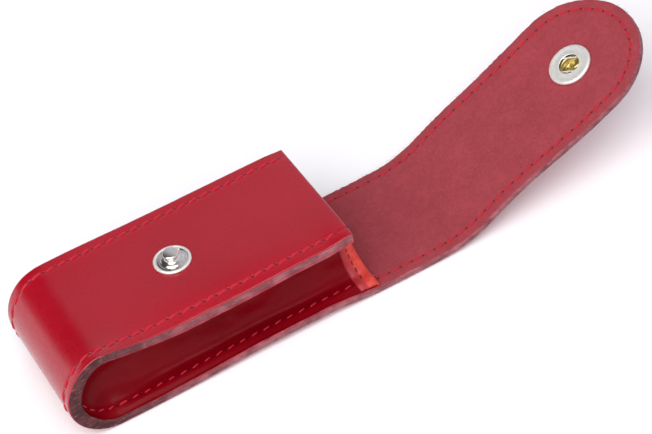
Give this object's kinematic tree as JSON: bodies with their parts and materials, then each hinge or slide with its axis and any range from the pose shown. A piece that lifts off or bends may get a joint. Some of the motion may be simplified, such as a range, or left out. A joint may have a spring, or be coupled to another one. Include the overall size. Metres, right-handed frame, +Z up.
{
  "type": "leather slip-in case",
  "caption": "Stitched leather slip-in case with folded side gussets and a long curved flap that wraps over the mouth and closes with a spring snap fastener.",
  "frame": {"origin": "underside of the back panel, midway between its long edges, under the front panel's mouth edge", "axes": "+X out of the mouth along the flap, -Y to the near side, +Z up from the back panel through the front panel"},
  "size_m": [0.1828, 0.04, 0.0332],
  "materials": {
    "strip_leather": "smooth dyed grain side, napped flesh side",
    "gusset_leather": "smooth glossy dyed grain side",
    "binding_leather": "thin matt skived leather",
    "thread": "waxed twisted thread",
    "nickel": "bright nickel plate",
    "spring_steel": "bright drawn wire",
    "brass": "bare pressed brass"
  },
  "bodies": {
    "case": {"case_shell": "strip_leather", "gusset_near": "gusset_leather", "gusset_far": "gusset_leather", "gusset_binding_near": "binding_leather", "gusset_binding_far": "binding_leather", "seam_thread_near": "thread", "seam_thread_far": "thread", "binding_thread_near": "thread", "binding_thread_far": "thread", "snap_stud": "nickel", "stud_rivet": "nickel"},
    "riser": {"flap_riser": "strip_leather", "riser_thread": "thread"},
    "flap": {"flap_front": "strip_leather", "flap_thread": "thread", "snap_socket": "nickel", "snap_cap": "nickel", "cap_post": "brass"},
    "spring_upper": {"socket_spring_upper": "spring_steel"},
    "spring_lower": {"socket_spring_lower": "spring_steel"}
  },
  "joints": [
    {"name": "back_fold", "type": "hinge", "parent": "case", "child": "riser", "pos_m": [0.0081, 0, 0.002], "axis": [0, -1, 0], "range_deg": [0, 90], "stiffness_Nm_per_rad": 0.09},
    {"name": "front_fold", "type": "hinge", "parent": "riser", "child": "flap", "pos_m": [0.0335, 0, 0.002], "axis": [0, -1, 0], "range_deg": [-26, 64], "stiffness_Nm_per_rad": 0.09, "springref_deg": 1.49},
    {"name": "upper_wire_spread", "type": "slide", "parent": "flap", "child": "spring_upper", "axis": [0.6679, 0.6691, 0.3258], "range_m": [0, 0.0004], "stiffness_N_per_m": 400},
    {"name": "lower_wire_spread", "type": "slide", "parent": "flap", "child": "spring_lower", "axis": [-0.6679, -0.6691, -0.3258], "range_m": [0, 0.0004], "stiffness_N_per_m": 400}
  ],
  "couplings": [
    {"joint": "lower_wire_spread", "follows": "upper_wire_spread", "ratio": 1}
  ]
}
